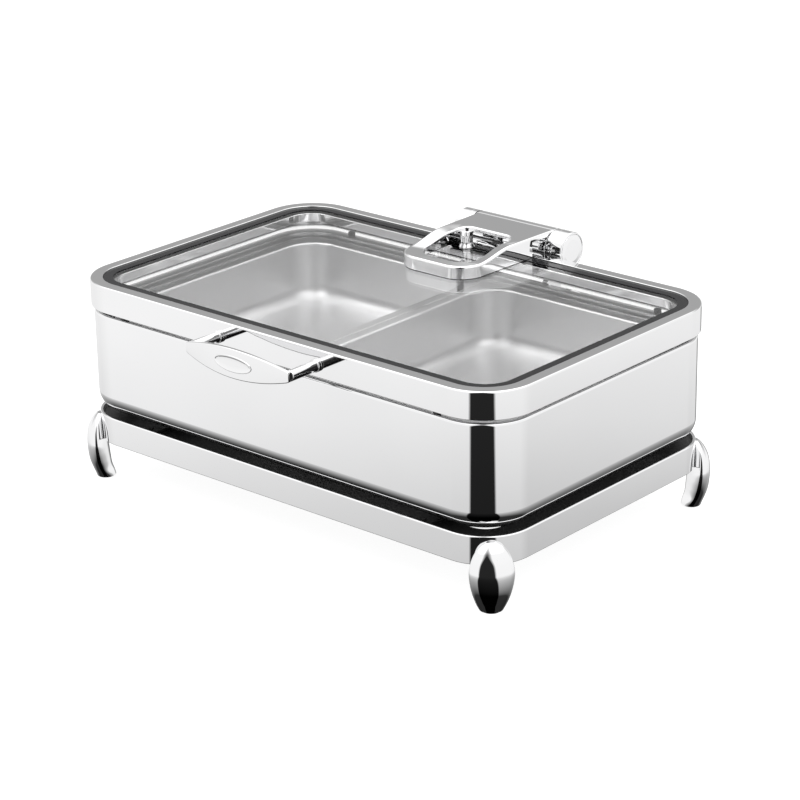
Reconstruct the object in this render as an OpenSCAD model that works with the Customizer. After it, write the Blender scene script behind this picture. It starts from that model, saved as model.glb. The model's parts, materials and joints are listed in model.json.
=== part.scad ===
// Electric buffet server: a full-size chafer with a hinged glass lid, two half-size food pans,
// a deep-drawn water pan and a four-legged stand that carries an electric hot plate.
// Origin: centre of the stand on the table, +X to the user's right, +Y to the back, +Z up.

/* [Lid] */
// Outer width of the lid frame
lid_w = 580; // [560:5:620]
// Outer depth of the lid frame
lid_d = 372; // [360:4:400]
// Outer corner radius of the lid frame
lid_r = 56; // [52:1:60]
// Height of the lid frame's vertical band
lid_band_h = 29; // [27:1:32]
// Width of the flat rim on top of the lid frame
lid_rim_w = 13.5; // [12:0.5:15]
// Thickness of the tempered glass
glass_t = 5; // [4:0.5:6]

/* [Water pan] */
// How far the water pan stands in from the lid frame
pan_inset = 3; // [2:0.5:4]
// Height of the water pan
pan_h = 114; // [104:2:124]
// Radius of the water pan's bottom edge
pan_edge_r = 28; // [22:1:32]
// Sheet thickness of the water pan
pan_t = 1.5; // [1.2:0.1:2]
// Gap between the water pan's top edge and the lid frame
lid_gap = 4; // [3:0.5:5]

/* [Stand] */
// Height of the lower edge of the stand ring above the table
ring_z = 48; // [44:1:52]
// Height of the stand ring's band
ring_h = 30; // [28:1:34]
// Thickness of the stand ring's band
ring_t = 3; // [2.5:0.5:4]
// How far the water pan's floor stands above the top of the ring
pan_lift = 2; // [1.5:0.5:3]

/* [Food pans] */
// Depth of a food pan
food_depth = 65; // [55:5:75]
// Draft of a food pan's walls in degrees
food_draft = 3; // [2:0.5:4]

/* [Handle] */
// Distance between the handle's two posts
post_span = 134; // [130:2:150]
// Length of a handle post from the lid frame to the grip
post_len = 39; // [36:1:46]
// Height of the grip in the middle
grip_h = 31; // [26:1:34]

/* [Hinge] */
// Distance of the hinge axis behind the lid frame
axis_back = 26; // [25.5:0.5:30]
// Outer radius of the hinge barrel
barrel_r = 20.6; // [19:0.1:22]
// Half the length of the hinge, over its end caps
hinge_half = 75.5; // [72:0.5:78]

/* [Hidden] */
$fn = 64;

// Fits and clearances
run = 0.05;
gap = 0.2;
// Heights
ring_top = ring_z + ring_h;
pan_z = ring_top + pan_lift;
pan_top = pan_z + pan_h;
lid_z = pan_top + lid_gap;
lid_top = lid_z + lid_band_h;
glass_top = lid_top - 2;
glass_z = glass_top - glass_t;
// Water pan and stand outline
pan_w = lid_w - 2 * pan_inset;
pan_d = lid_d - 2 * pan_inset;
pan_r = lid_r - pan_inset;
corner_x = pan_w / 2 - pan_r;
corner_y = pan_d / 2 - pan_r;
// Sheet thicknesses
sheet = 1.5;
// Glass and gasket: distances in from the lid frame's outer face
gasket_in = lid_rim_w + 1;
gasket_lip = 10;
gasket_t = 0.8;
ledge_in = 29.5;
hem_w = 8;
// Pan rim: distances in from the water pan's outer face
rim_flange = 15;
rim_step = 6;
ledge_w = 17.5;
ledge_top = pan_top - 7;
// Food pans, half-size gastronorm
food_w = 264;
food_l = 324;
food_flange_x = 12;
food_flange_y = 12.5;
food_t = 1;
food_r = 36;
food_edge_r = 18;
food_top = ledge_top + 1 + food_t;
// Stand details
ledge_z = ring_top - 8;
shelf_w = 32;
shelf_t = 2;
flange_w = 9;
rail_x = 190;
rail_w = 24;
rail_t = 3;
rail_end = 6;
rail_screw_r = 2;
rail_top = ledge_z + shelf_t + rail_t;
leg_u = pan_r + gap;
leg_screw_z = ring_z + 15;
leg_screw_r = 3;
glide_r = 9;
glide_h = 3;
// Heater
tray_x = 130;
tray_y0 = -85;
tray_y1 = 118;
tray_z = ring_z - 12;
tray_top = ledge_z;
tray_t = 1.2;
element_r = 4;
element_z = tray_top - 7;
plate_z = element_z + element_r + 0.5;
grommet_z = tray_z + 5.5;
grommet_r = 4;
// Control box under the rear of the ring
box_x = 62;
box_y0 = tray_y1 + gap;
box_y1 = 174;
box_z0 = 14;
box_z1 = ring_z - gap;
box_t = 1.6;
panel_t = 2;
panel_y = box_y1 + panel_t;
row_z = (box_z0 + box_z1) / 2;
inlet_x = -30.5;
switch_x = 3;
lamp_x = 18;
knob_x = 40;
shaft_r = 3;
knob_r = 12;
knob_len = 14;
rocker_y = panel_y - 1;
rocker_pin_r = 1.2;
// Hinge
axis_y = lid_d / 2 + axis_back;
axis_z = lid_top + 1;
pin_r = 5;
bore_r = 14;
arm_half = 53.5;
bush_x = arm_half - 10;
ear_x0 = 54.5;
ear_t = 6.5;
base_y = pan_d / 2;
base_t = 4;
base_z0 = pan_z + 50;
base_z1 = pan_top - 6;
post_x = 30;
post_y = 161;
bolt_r = 3;
clamp_z = glass_z - 0.4;
clamp_t = 2;
// Lid arm
loop_y0 = 62;
loop_half = 50;
loop_r = 29;
flank_y1 = lid_d / 2 - gasket_in;
rise_y0 = 88;
rise_y1 = 140;
arm_t = 4.5;
loop_top = glass_top + 15;
arm_top = axis_z + barrel_r - 0.3;
window_y0 = 84;
window_y1 = 164;
window_front = 33;
window_back = 33;
window_front_r = 20;
window_back_r = 13;
// Handle
post_r = 5.75;
grip_z = lid_z + 12.5;
grip_tip_h = 11;
grip_t = 4.5;
grip_bow = 6;
lid_front = -lid_d / 2;

STEEL = "silver";
BLACK = [0.08, 0.08, 0.08];

// ---------- shared shapes ----------

// Rounded rectangle made of true arcs
module rounded(w, d, r) {
    square([w - 2 * r, d], center = true);
    square([w, d - 2 * r], center = true);
    for (sx = [-1, 1], sy = [-1, 1])
        translate([sx * (w / 2 - r), sy * (d / 2 - r)]) circle(r);
}

module slab(w, d, r, z0, z1) {
    translate([0, 0, z0]) linear_extrude(z1 - z0) rounded(w, d, r);
}

// A 2D profile carried round a rounded rectangle. In the profile, x is the distance from the
// corner's centre, so x = r is the outer face, and y is the height.
module around(w, d, r) {
    for (side = [0:3]) {
        a = side % 2 == 0 ? w : d;
        b = side % 2 == 0 ? d : w;
        rotate([0, 0, 90 * side]) translate([a / 2 - r, b / 2 - r, 0]) {
            rotate([90, 0, 0]) linear_extrude(b - 2 * r) children();
            rotate_extrude(angle = 90) children();
        }
    }
}

// Box from its two corners
module span(a, b) {
    translate(a) cube(b - a);
}

// Cylinder from y0 to y1 along Y
module rod_y(x, z, r, y0, y1) {
    translate([x, y0, z]) rotate([-90, 0, 0]) cylinder(r = r, h = y1 - y0);
}

// Cylinder from x0 to x1 along X
module rod_x(y, z, r, x0, x1) {
    translate([x0, y, z]) rotate([0, 90, 0]) cylinder(r = r, h = x1 - x0);
}

// Cylinder from z0 to z1 along Z
module rod_z(x, y, r, z0, z1) {
    translate([x, y, z0]) cylinder(r = r, h = z1 - z0);
}

// Places its children at the four leg corners, with +X pointing out along the diagonal
module at_corner(sx, sy) {
    translate([sx * corner_x, sy * corner_y, 0])
        rotate([0, 0, atan2(sy, sx)]) children();
}

module at_corners() {
    for (sx = [-1, 1], sy = [-1, 1]) at_corner(sx, sy) children();
}

// ---------- stand ----------

module ring_profile() {
    band_top_r = ring_t / 2;
    translate([pan_r - ring_t, ring_z]) square([ring_t, ring_h - band_top_r]);
    translate([pan_r - band_top_r, ring_top - band_top_r]) circle(band_top_r, $fn = 32);
    translate([pan_r - flange_w, ring_z]) square([flange_w - ring_t / 2, shelf_t]);
}

module stand_ring() {
    color(STEEL) difference() {
        around(pan_w, pan_d, pan_r) ring_profile();
        at_corners() translate([pan_r - 6, 0, leg_screw_z]) rotate([0, 90, 0])
            cylinder(r = leg_screw_r + gap, h = 12);
    }
}

// Dark shelf welded round the inside of the ring, under the edge of the water pan
module stand_shelf() {
    color(BLACK) around(pan_w, pan_d, pan_r)
        translate([pan_r - shelf_w, ledge_z]) square([shelf_w - ring_t - run, shelf_t]);
}

// Leg sections from the table up: [height, inner face, outer face, half width],
// the faces measured outwards from the ring's corner
LEG = [[1, -12.8, 7.8, 11.8], [6, -11.6, 9.4, 14.2], [13, -9.3, 12, 16.8], [22, -8.2, 14.6, 19.5],
    [33, -7.2, 15.9, 21.6], [44, -6.2, 16, 22.2], [55, -4.8, 14.6, 20], [63, -3.6, 11.4, 16.4],
    [69, -2.4, 7.4, 11.4], [73, -1, 3.2, 4.5]];
LEG_SIDES = 28;
LEG_STEPS = 3;

// Smooth value between rows of LEG, by a Catmull-Rom curve
function leg_row(i) = LEG[max(0, min(len(LEG) - 1, i))];
function smooth(p0, p1, p2, p3, t) =
    0.5 * (2 * p1 + (p2 - p0) * t + (2 * p0 - 5 * p1 + 4 * p2 - p3) * t * t
    + (3 * p1 - p0 - 3 * p2 + p3) * t * t * t);
function leg_section(k) =
    let (i = floor(k / LEG_STEPS), t = k / LEG_STEPS - i)
    smooth(leg_row(i - 1), leg_row(i), leg_row(i + 1), leg_row(i + 2), t);

// One closed loop of points, flatter on the inner side
function leg_loop(s) = [for (j = [0:LEG_SIDES - 1])
    let (a = 360 * j / LEG_SIDES, mid = (s[1] + s[2]) / 2, half = (s[2] - s[1]) / 2)
    [mid + half * cos(a), s[3] * sin(a), s[0]]];

module leg_blank() {
    levels = (len(LEG) - 1) * LEG_STEPS;
    points = [for (k = [0:levels]) each leg_loop(leg_section(k))];
    sides = [for (k = [0:levels - 1], j = [0:LEG_SIDES - 1])
        let (a = k * LEG_SIDES + j, b = k * LEG_SIDES + (j + 1) % LEG_SIDES)
        [a, a + LEG_SIDES, b + LEG_SIDES, b]];
    ends = [[for (j = [0:LEG_SIDES - 1]) j],
        [for (j = [LEG_SIDES - 1:-1:0]) levels * LEG_SIDES + j]];
    polyhedron(points, concat(sides, ends));
}

module leg(sx, sy) {
    color(STEEL) at_corner(sx, sy) difference() {
        translate([leg_u, 0, 0]) leg_blank();
        translate([0, 0, ring_z - gap]) cylinder(r = leg_u, h = ring_h + 2, $fn = 96);
        translate([leg_u - 1, 0, leg_screw_z]) rotate([0, 90, 0])
            cylinder(r = leg_screw_r + gap, h = 9, $fn = 16);
        translate([leg_u - 2, 0, 0]) cylinder(r = glide_r + gap, h = glide_h, $fn = 24);
    }
}

module foot_glides() {
    color(BLACK) at_corners() rod_z(leg_u - 2, 0, glide_r, 0, glide_h - gap);
}

module leg_screws() {
    color("gray") at_corners() translate([pan_r - ring_t - gap, 0, leg_screw_z]) rotate([0, 90, 0]) {
        cylinder(r = leg_screw_r, h = 9);
        translate([0, 0, -3.5]) cylinder(r = 5.5, h = 3.5);
    }
}

module rail(s) {
    half_y = pan_d / 2 - ring_t - 1;
    color("gainsboro") difference() {
        span([s * rail_x - rail_w / 2, -half_y, ledge_z + shelf_t],
            [s * rail_x + rail_w / 2, half_y, rail_top]);
        for (sy = [-1, 1]) {
            rod_z(s * rail_x, sy * (half_y - rail_end), rail_screw_r + gap, ledge_z, rail_top + 1);
            rod_z(s * (rail_x - 5), sy * 20, rail_screw_r + gap, ledge_z, rail_top + 1);
        }
    }
}

module rail_pads() {
    color(BLACK) for (sx = [-1, 1], y = [-110, 110])
        span([sx * rail_x - 9, y - 22, rail_top], [sx * rail_x + 9, y + 22, pan_z]);
}

// Button-head screws: through each rail into the ledge, and through it into the heater's hangers
module rail_screws() {
    half_y = pan_d / 2 - ring_t - 1;
    color("gray") for (sx = [-1, 1], sy = [-1, 1])
        for (p = [[sx * rail_x, sy * (half_y - rail_end)], [sx * (rail_x - 5), sy * 20]]) {
            rod_z(p[0], p[1], rail_screw_r, ledge_z + shelf_t, rail_top);
            rod_z(p[0], p[1], 2 * rail_screw_r, rail_top, rail_top + 1.8);
        }
}

// ---------- heater ----------

module heater_tray() {
    color("lightgray") difference() {
        union() {
            span([-tray_x, tray_y0, tray_z], [tray_x, tray_y1, tray_top]);
            span([-tray_x - 20, tray_y0, tray_top - tray_t], [tray_x + 20, tray_y1, tray_top]);
        }
        span([-tray_x + tray_t, tray_y0 + tray_t, tray_z + tray_t],
            [tray_x - tray_t, tray_y1 - tray_t, tray_top + 1]);
        rod_y(0, grommet_z, grommet_r, tray_y1 - 3, tray_y1 + 1);
    }
}

module heater_insulation() {
    color("beige") span([-tray_x + 4, tray_y0 + 4, tray_z + tray_t],
        [tray_x - 4, 85, element_z - element_r - 0.5]);
}

// Tubular element: two straight runs joined by bends, with both ends at the rear
module heating_element() {
    outer_x = 100;
    inner_x = 34;
    bend = (outer_x - inner_x) / 2;
    front_y = -35;
    rear_y = 45;
    color("dimgray") for (s = [-1, 1]) {
        rod_y(s * outer_x, element_z, element_r, front_y, rear_y + 42);
        rod_y(s * inner_x, element_z, element_r, front_y, rear_y);
        translate([s * (inner_x + bend), front_y, element_z]) rotate([0, 0, 180])
            rotate_extrude(angle = 180) translate([bend, 0]) circle(element_r, $fn = 32);
    }
    color("dimgray") translate([0, rear_y, element_z])
        rotate_extrude(angle = 180) translate([inner_x, 0]) circle(element_r, $fn = 32);
}

module heater_plate() {
    color("darkgray") slab(2 * tray_x - 6, 164, 12, plate_z, pan_z - gap / 2);
}

// Snap-disc cutout under the middle of the hot plate
module thermal_cutout() {
    color("ivory") rod_z(0, 0, 8, plate_z - 8, plate_z - run);
}

module heater_brackets() {
    color("gainsboro") for (s = [-1, 1])
        span([s > 0 ? tray_x + 6 : -rail_x - 6, -32, tray_top],
            [s > 0 ? rail_x + 6 : -tray_x - 6, 32, ledge_z + shelf_t]);
}

// ---------- controls, under the rear of the stand ----------

module control_box() {
    color(BLACK) difference() {
        span([-box_x, box_y0, box_z0], [box_x, box_y1, box_z1]);
        span([-box_x + box_t, box_y0 + box_t, box_z0 + box_t],
            [box_x - box_t, box_y1 + 1, box_z1 - box_t]);
        rod_y(0, grommet_z, grommet_r, box_y0 - 1, box_y0 + box_t + 1);
    }
}

module control_panel() {
    color("gainsboro") difference() {
        span([-box_x, box_y1, box_z0], [box_x, panel_y, box_z1]);
        span([inlet_x - 13.6, box_y1 - 1, row_z - 10.1], [inlet_x + 13.6, panel_y + 1, row_z + 10.1]);
        span([switch_x - 6.6, box_y1 - 1, row_z - 9.6], [switch_x + 6.6, panel_y + 1, row_z + 9.6]);
        rod_y(lamp_x, row_z, 4 + gap, box_y1 - 1, panel_y + 1);
        rod_y(knob_x, row_z, 4.2, box_y1 - 1, panel_y + 1);
        for (s = [-1, 1]) rod_y(s * (box_x - 4), row_z, 1.7, box_y1 - 1, panel_y + 1);
    }
}

module thermostat() {
    color("tan") difference() {
        union() {
            span([knob_x - 13, box_y1 - 26, row_z - 12], [knob_x + 13, box_y1 - 4, row_z + 12]);
            rod_y(knob_x, row_z, 4, box_y1 - 4, panel_y);
        }
        rod_y(knob_x, row_z, shaft_r + run, box_y1 - 12, panel_y + 1);
    }
}

module thermostat_shaft() {
    color("silver") rod_y(knob_x, row_z, shaft_r, box_y1 - 11, panel_y + knob_len - 3);
}

module thermostat_knob() {
    color(BLACK) difference() {
        union() {
            rod_y(knob_x, row_z, knob_r, panel_y + 1.2, panel_y + knob_len);
            rod_y(knob_x, row_z, knob_r + 1.5, panel_y + 1.2, panel_y + 3);
        }
        rod_y(knob_x, row_z, shaft_r, panel_y, panel_y + knob_len - 3);
    }
}

module switch_body() {
    color(BLACK) difference() {
        union() {
            span([switch_x - 6.4, box_y1 - 16, row_z - 9.4], [switch_x + 6.4, panel_y, row_z + 9.4]);
            span([switch_x - 7.5, panel_y, row_z - 10.5], [switch_x + 7.5, panel_y + 1.5, row_z + 10.5]);
        }
        span([switch_x - 4.8, panel_y - 6, row_z - 8], [switch_x + 4.8, panel_y + 2, row_z + 8]);
        rod_x(rocker_y, row_z, rocker_pin_r + run, switch_x - 5.8, switch_x + 5.8);
    }
}

// Rocker: a shallow wedge with a pivot pin at each side, held in the walls of the switch body
module switch_rocker() {
    color("firebrick") {
        translate([switch_x, rocker_y, row_z]) rotate([0, 90, 0]) linear_extrude(9, center = true)
            polygon([[-6.6, 2.2], [0, 1.4], [6.6, 3.8], [5.8, -1], [0, -2.6], [-5.8, -2.2]]);
        rod_x(rocker_y, row_z, rocker_pin_r, switch_x - 5.6, switch_x + 5.6);
    }
}

module power_inlet() {
    color(BLACK) difference() {
        union() {
            span([inlet_x - 13.4, box_y1 - 14, row_z - 9.9], [inlet_x + 13.4, panel_y, row_z + 9.9]);
            span([inlet_x - 24, panel_y, row_z - 11.5], [inlet_x + 24, panel_y + 2.5, row_z + 11.5]);
        }
        span([inlet_x - 12, panel_y - 12, row_z - 8.3], [inlet_x + 12, panel_y + 3, row_z + 8.3]);
        for (s = [-1, 1]) rod_y(inlet_x + s * 20, row_z, 1.7, panel_y - 1, panel_y + 3);
    }
}

module inlet_pins() {
    color("goldenrod") for (p = [[-7, -2.5], [0, 2.5], [7, -2.5]])
        span([inlet_x + p[0] - 1, panel_y - 12, row_z + p[1] - 2],
            [inlet_x + p[0] + 1, panel_y - 1, row_z + p[1] + 2]);
}

module indicator_lamp() {
    color("orange") {
        rod_y(lamp_x, row_z, 4, box_y1 - 8, panel_y);
        rod_y(lamp_x, row_z, 5, panel_y, panel_y + 2);
    }
}

module terminal_block() {
    color("ivory") span([-22, 96, tray_z + tray_t], [22, 108, tray_z + tray_t + 12]);
}

module wire_grommet() {
    color(BLACK) difference() {
        rod_y(0, grommet_z, grommet_r - run, tray_y1 - tray_t - 1.5, box_y0 + box_t + 1.5);
        rod_y(0, grommet_z, grommet_r - 1.5, tray_y1 - 5, box_y0 + box_t + 3);
    }
}

// Wires from the terminal block through the grommet into the control box
module supply_wires() {
    color("brown") for (x = [-1.3, 1.3])
        rod_y(x, grommet_z, 1.1, 108 + gap, box_y1 - 30);
}

// Short insulated wires from the terminal block to the two ends of the element
module element_wires() {
    wire_r = 1.2;
    wire_z = tray_z + tray_t + 14;
    color("white") for (s = [-1, 1]) {
        rod_z(s * 14, 102, wire_r, tray_z + tray_t + 12 + gap, wire_z);
        translate([s * 14, 102, wire_z]) sphere(wire_r, $fn = 16);
        rod_x(102, wire_z, wire_r, s > 0 ? 14 : -100, s > 0 ? 100 : -14);
        translate([s * 100, 102, wire_z]) sphere(wire_r, $fn = 16);
        rod_z(s * 100, 102, wire_r, wire_z, element_z);
        translate([s * 100, 102, element_z]) sphere(wire_r, $fn = 16);
        rod_y(s * 100, element_z, wire_r, 87 + gap, 102);
    }
}

module control_screws() {
    color("gray") {
        for (s = [-1, 1]) {
            rod_y(s * (box_x - 4), row_z, 1.5, box_y1 + gap, panel_y);
            rod_y(s * (box_x - 4), row_z, 3, panel_y, panel_y + 1.6);
            rod_y(inlet_x + s * 20, row_z, 1.5, panel_y + gap, panel_y + 2.5);
            rod_y(inlet_x + s * 20, row_z, 3, panel_y + 2.5, panel_y + 3.8);
        }
    }
}

// ---------- water pan and food pans ----------

// Wall, rounded bottom edge and a strip of floor of a drawn pan, outer face at x = r
module drawn_profile(r, z0, h, edge, t) {
    translate([r - t, z0 + edge]) square([t, h - edge]);
    translate([r - edge, z0 + edge]) intersection() {
        difference() {
            circle(edge);
            circle(edge - t);
        }
        translate([0, -edge]) square(edge);
    }
    translate([0, z0]) square([r - edge, t]);
}

module water_pan() {
    color(STEEL) {
        around(pan_w, pan_d, pan_r) drawn_profile(pan_r, pan_z, pan_h, pan_edge_r, pan_t);
        span([-corner_x, -corner_y, pan_z], [corner_x, corner_y, pan_z + pan_t]);
    }
}

// Stepped rim inside the water pan's top edge: flange, step and the ledge for the food pans
module pan_rim() {
    face = pan_r - pan_t;
    step_x = pan_r - rim_flange;
    color(STEEL) around(pan_w, pan_d, pan_r) {
        translate([step_x, pan_top - sheet]) square([face - step_x, sheet]);
        translate([step_x, ledge_top - sheet]) square([sheet, pan_top - ledge_top + sheet / 2]);
        translate([step_x - ledge_w + sheet, ledge_top - sheet]) square([ledge_w, sheet]);
    }
}

// Half-size pan: flange, drafted walls, rounded bottom edge and floor
module food_pan() {
    bowl_w = food_w - 2 * food_flange_x;
    bowl_d = food_l - 2 * food_flange_y;
    drop = food_depth - food_edge_r;
    lean = drop * tan(food_draft);
    wall_x = food_r - lean;
    floor_r = wall_x - food_edge_r;
    z0 = food_top - food_depth;
    difference() {
        slab(food_w, food_l, 20, food_top - food_t, food_top);
        slab(bowl_w - 2 * food_t, bowl_d - 2 * food_t, food_r - food_t, food_top - 2, food_top + 1);
    }
    around(bowl_w, bowl_d, food_r) {
        polygon([[food_r - food_t, food_top - food_t / 2], [food_r, food_top - food_t / 2],
            [wall_x, z0 + food_edge_r], [wall_x - food_t, z0 + food_edge_r]]);
        translate([floor_r, z0 + food_edge_r]) intersection() {
            difference() {
                circle(food_edge_r);
                circle(food_edge_r - food_t);
            }
            translate([0, -food_edge_r]) square(food_edge_r);
        }
        translate([0, z0]) square([floor_r, food_t]);
    }
    span([-bowl_w / 2 + food_r, -bowl_d / 2 + food_r, z0],
        [bowl_w / 2 - food_r, bowl_d / 2 - food_r, z0 + food_t]);
}

module food_pan_at(s) {
    color("lightgray") translate([s * (food_w / 2 + 0.5), 0, 0]) food_pan();
}

// Bar across the middle that carries the inner flanges of both food pans
module pan_support_bar() {
    reach = pan_d / 2 - rim_flange - ledge_w + sheet - gap;
    color("gainsboro") {
        span([-5, -reach, ledge_top - 5], [5, reach, food_top - food_t]);
        for (s = [-1, 1])
            span([-9, s > 0 ? reach - 1 : -reach - 9, ledge_top],
                [9, s > 0 ? reach + 9 : -reach + 1, food_top - food_t]);
    }
}

module lid_bumpers() {
    color(BLACK) for (sx = [-1, 1], sy = [-1, 1])
        rod_z(sx * (corner_x - 20), sy * (pan_d / 2 - 5.5), 4, pan_top, lid_z - 0.3);
}

// ---------- hinge ----------

// Arm's side view: an S-curve from the loop on the glass up to the barrel
function s_curve(t) = t * t * (3 - 2 * t);
function arm_rise(lower) = let (steps = 12) [for (i = [0:steps]) let (t = i / steps)
    [rise_y0 + (rise_y1 - rise_y0) * t, loop_top + (arm_top - loop_top) * s_curve(t) - lower]];

module arm_side() {
    polygon(concat([[loop_y0 - 5, glass_top + run], [loop_y0 - 5, loop_top]], arm_rise(0),
        [[axis_y, arm_top], [axis_y, arm_top - arm_t], [flank_y1, arm_top - arm_t],
        [flank_y1, glass_top + run]]));
}

// The hollow under the arm's skin, open to the glass and to the rear
module arm_hollow_side() {
    polygon(concat([[loop_y0, glass_top - 1], [loop_y0, loop_top - arm_t]], arm_rise(arm_t),
        [[flank_y1 + 1, arm_top - arm_t], [flank_y1 + 1, glass_top - 1]]));
}

// Arm's plan, drawn in by some distance
module arm_plan(inset) {
    r = loop_r - inset;
    for (s = [-1, 1]) translate([s * (loop_half - loop_r), loop_y0 + loop_r]) circle(r);
    translate([-loop_half + loop_r, loop_y0 + inset]) square([2 * (loop_half - loop_r), loop_r]);
    polygon([[-loop_half + inset, loop_y0 + loop_r], [loop_half - inset, loop_y0 + loop_r],
        [arm_half - inset, flank_y1 + 9], [arm_half - inset, axis_y], [-arm_half + inset, axis_y],
        [-arm_half + inset, flank_y1 + 9]]);
}

module window_plan() {
    front_r = window_front_r;
    back_r = window_back_r;
    for (s = [-1, 1]) {
        translate([s * (window_front - front_r), window_y0 + front_r]) circle(front_r);
        translate([s * (window_back - back_r), window_y1 - back_r]) circle(back_r);
    }
    translate([-window_front + front_r, window_y0]) square([2 * (window_front - front_r), front_r]);
    translate([-window_back + back_r, window_y1 - back_r]) square([2 * (window_back - back_r), back_r]);
    polygon([[-window_front, window_y0 + front_r], [window_front, window_y0 + front_r],
        [window_back, window_y1 - back_r], [-window_back, window_y1 - back_r]]);
}

module across_arm() {
    rotate([90, 0, 90]) linear_extrude(2 * arm_half + 2, center = true) children();
}

module hinge_arm() {
    color(STEEL) difference() {
        union() {
            difference() {
                intersection() {
                    translate([0, 0, glass_top - 5]) linear_extrude(40) arm_plan(0);
                    across_arm() arm_side();
                }
                intersection() {
                    translate([0, 0, glass_top - 6]) linear_extrude(42) arm_plan(arm_t);
                    across_arm() arm_hollow_side();
                }
                translate([0, 0, glass_top - 1]) linear_extrude(40) window_plan();
            }
            rod_x(axis_y, axis_z, barrel_r, -arm_half, arm_half);
        }
        rod_x(axis_y, axis_z, bore_r, -arm_half - 1, arm_half + 1);
    }
}

module hinge_bushes() {
    color("goldenrod") for (s = [-1, 1]) difference() {
        rod_x(axis_y, axis_z, bore_r, min(s * arm_half, s * bush_x), max(s * arm_half, s * bush_x));
        rod_x(axis_y, axis_z, pin_r + run, -arm_half - 1, arm_half + 1);
    }
}

module hinge_damper() {
    color("darkslategray") difference() {
        rod_x(axis_y, axis_z, bore_r - gap, -bush_x + 2, bush_x - 2);
        rod_x(axis_y, axis_z, pin_r + 0.3, -arm_half, arm_half);
    }
}

module hinge_pin() {
    color("gray") rod_x(axis_y, axis_z, pin_r, -ear_x0 - ear_t, ear_x0 + ear_t);
}

module hinge_cap(s) {
    x0 = ear_x0 + ear_t;
    color(STEEL) rod_x(axis_y, axis_z, barrel_r, s > 0 ? x0 : -hinge_half, s > 0 ? hinge_half : -x0);
}

// Fixed base: a plate on the water pan's back with an ear at each end that holds the pin
module hinge_base() {
    color(STEEL) difference() {
        union() {
            span([-ear_x0 - ear_t, base_y, base_z0], [ear_x0 + ear_t, base_y + base_t, base_z1]);
            for (s = [-1, 1]) {
                x0 = s > 0 ? ear_x0 : -ear_x0 - ear_t;
                rod_x(axis_y, axis_z, barrel_r, x0, x0 + ear_t);
                translate([x0, 0, 0]) rotate([90, 0, 90]) linear_extrude(ear_t)
                    polygon([[base_y, base_z0], [base_y + base_t, base_z0], [axis_y + 13, axis_z - 13.4],
                        [axis_y - barrel_r * 0.98, axis_z - 3], [lid_d / 2 + 3, pan_top],
                        [base_y, base_z1]]);
            }
        }
        rod_x(axis_y, axis_z, pin_r, -ear_x0 - ear_t - 1, ear_x0 + ear_t + 1);
        for (sx = [-1, 1], z = [base_z0 + 10, base_z1 - 12])
            rod_y(sx * 36, z, 2.7, base_y - 1, base_y + base_t + 1);
    }
}

module hinge_base_screws() {
    color("gray") for (sx = [-1, 1], z = [base_z0 + 10, base_z1 - 12]) {
        rod_y(sx * 36, z, 2.5, base_y + gap, base_y + base_t);
        rod_y(sx * 36, z, 5, base_y + base_t, base_y + base_t + 3);
    }
}

// Waisted post between the arm and the glass
module clamp_post() {
    height = arm_top - arm_t - glass_top - run;
    rotate_extrude() difference() {
        square([9, height]);
        translate([24.5, height / 2]) circle(18);
        translate([0, -1]) square([bolt_r + gap, height + 2]);
    }
}

module clamp_posts() {
    color(STEEL) for (s = [-1, 1]) translate([s * post_x, post_y, glass_top + run]) clamp_post();
}

module clamp_plate() {
    color("gainsboro") difference() {
        span([-post_x - 14, post_y - 12, clamp_z - clamp_t], [post_x + 14, post_y + 10, clamp_z]);
        for (s = [-1, 1]) rod_z(s * post_x, post_y, bolt_r + gap, clamp_z - 4, glass_z);
    }
}

module clamp_bolts() {
    color("gray") for (s = [-1, 1]) {
        rod_z(s * post_x, post_y, bolt_r, clamp_z - clamp_t, arm_top - arm_t - gap);
        rod_z(s * post_x, post_y, 5.5, clamp_z - clamp_t - 3.5, clamp_z - clamp_t);
    }
}

// ---------- lid ----------

module lid_profile() {
    edge_r = 1.5;
    rim_x = lid_r - lid_rim_w;
    ledge_z = glass_z - gasket_t - sheet;
    translate([lid_r - sheet, lid_z]) square([sheet, lid_band_h - edge_r]);
    translate([lid_r - hem_w, lid_z]) square([hem_w, sheet]);
    translate([lid_r - edge_r, lid_top - edge_r]) circle(edge_r, $fn = 32);
    translate([rim_x, lid_top - sheet]) square([lid_rim_w - edge_r, sheet]);
    translate([rim_x, ledge_z]) square([sheet, lid_top - ledge_z]);
    translate([lid_r - ledge_in, ledge_z]) square([ledge_in - lid_rim_w, sheet]);
    translate([lid_r - ledge_in, ledge_z - 8]) square([sheet, 8 + sheet]);
}

module lid_frame() {
    color(STEEL) difference() {
        around(lid_w, lid_d, lid_r) lid_profile();
        for (s = [-1, 1]) rod_y(s * post_span / 2, grip_z, 2.7, lid_front - 1, lid_front + 4);
        span([-post_x - 15, lid_d / 2 - ledge_in - 1, glass_z - 12],
            [post_x + 15, lid_d / 2 - lid_rim_w - gap, glass_z]);
    }
}

module glass_panel() {
    color([0.8, 0.9, 0.9, 0.3]) difference() {
        slab(lid_w - 2 * gasket_in, lid_d - 2 * gasket_in, lid_r - gasket_in, glass_z, glass_top);
        for (s = [-1, 1]) rod_z(s * post_x, post_y, bolt_r + 1, glass_z - 1, glass_top + 1);
    }
}

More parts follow.
